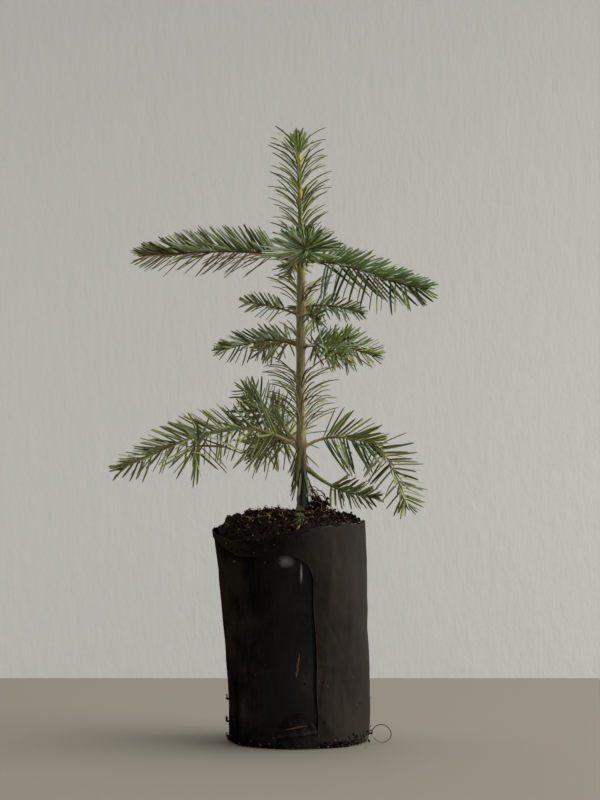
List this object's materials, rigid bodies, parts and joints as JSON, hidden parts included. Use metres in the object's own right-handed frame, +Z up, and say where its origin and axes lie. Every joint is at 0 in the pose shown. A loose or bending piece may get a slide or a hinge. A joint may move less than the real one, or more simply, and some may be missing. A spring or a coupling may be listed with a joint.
{
  "type": "fir sapling with root ball",
  "caption": "Young fir seedling with whorled, needle-clad limbs, standing on a round root ball wrapped in black film.",
  "frame": {"origin": "centre of the root ball's flat underside", "axes": "+Z up the trunk, -Y the front that the view faces, +X to the right in that view"},
  "size_m": [0.1486, 0.1142, 0.282],
  "materials": {
    "bark": "rough young bark, tan on the limbs and darker at the foot",
    "needles": "waxy dark green, paler below",
    "bud": "smooth resinous bud scales",
    "soil": "damp, crumbly potting soil",
    "film": "thin black film, dusty and slightly creased"
  },
  "bodies": {
    "root": {"film_cup": "film", "film_outer_layer": "film", "film_tab": "film", "foot_needles": "needles", "leader_needles": "needles", "low_back_bough": "bark", "low_back_left_bough": "bark", "low_back_left_needles": "needles", "low_back_needles": "needles", "low_left_bough": "bark", "low_left_needles": "needles", "low_right_bough": "bark", "low_right_needles": "needles", "low_right_tip_needles": "needles", "lower_stem_needles": "needles", "lowest_right_bough": "bark", "lowest_right_needles": "needles", "mid_stem_needles": "needles", "root_ball_soil": "soil", "second_back_bough": "bark", "second_back_needles": "needles", "second_front_bough": "bark", "second_front_needles": "needles", "second_left_bough": "bark", "second_left_needles": "needles", "second_right_bough": "bark", "second_right_needles": "needles", "third_back_bough": "bark", "third_back_needles": "needles", "third_front_bough": "bark", "third_front_needles": "needles", "third_left_bough": "bark", "third_left_needles": "needles", "third_right_bough": "bark", "third_right_needles": "needles", "top_back_bough": "bark", "top_back_needles": "needles", "top_bud": "bud", "top_front_bough": "bark", "top_front_needles": "needles", "top_left_bough": "bark", "top_left_needles": "needles", "top_right_bough": "bark", "top_right_needles": "needles", "trunk": "bark", "upper_stem_needles": "needles"}
  },
  "joints": []
}
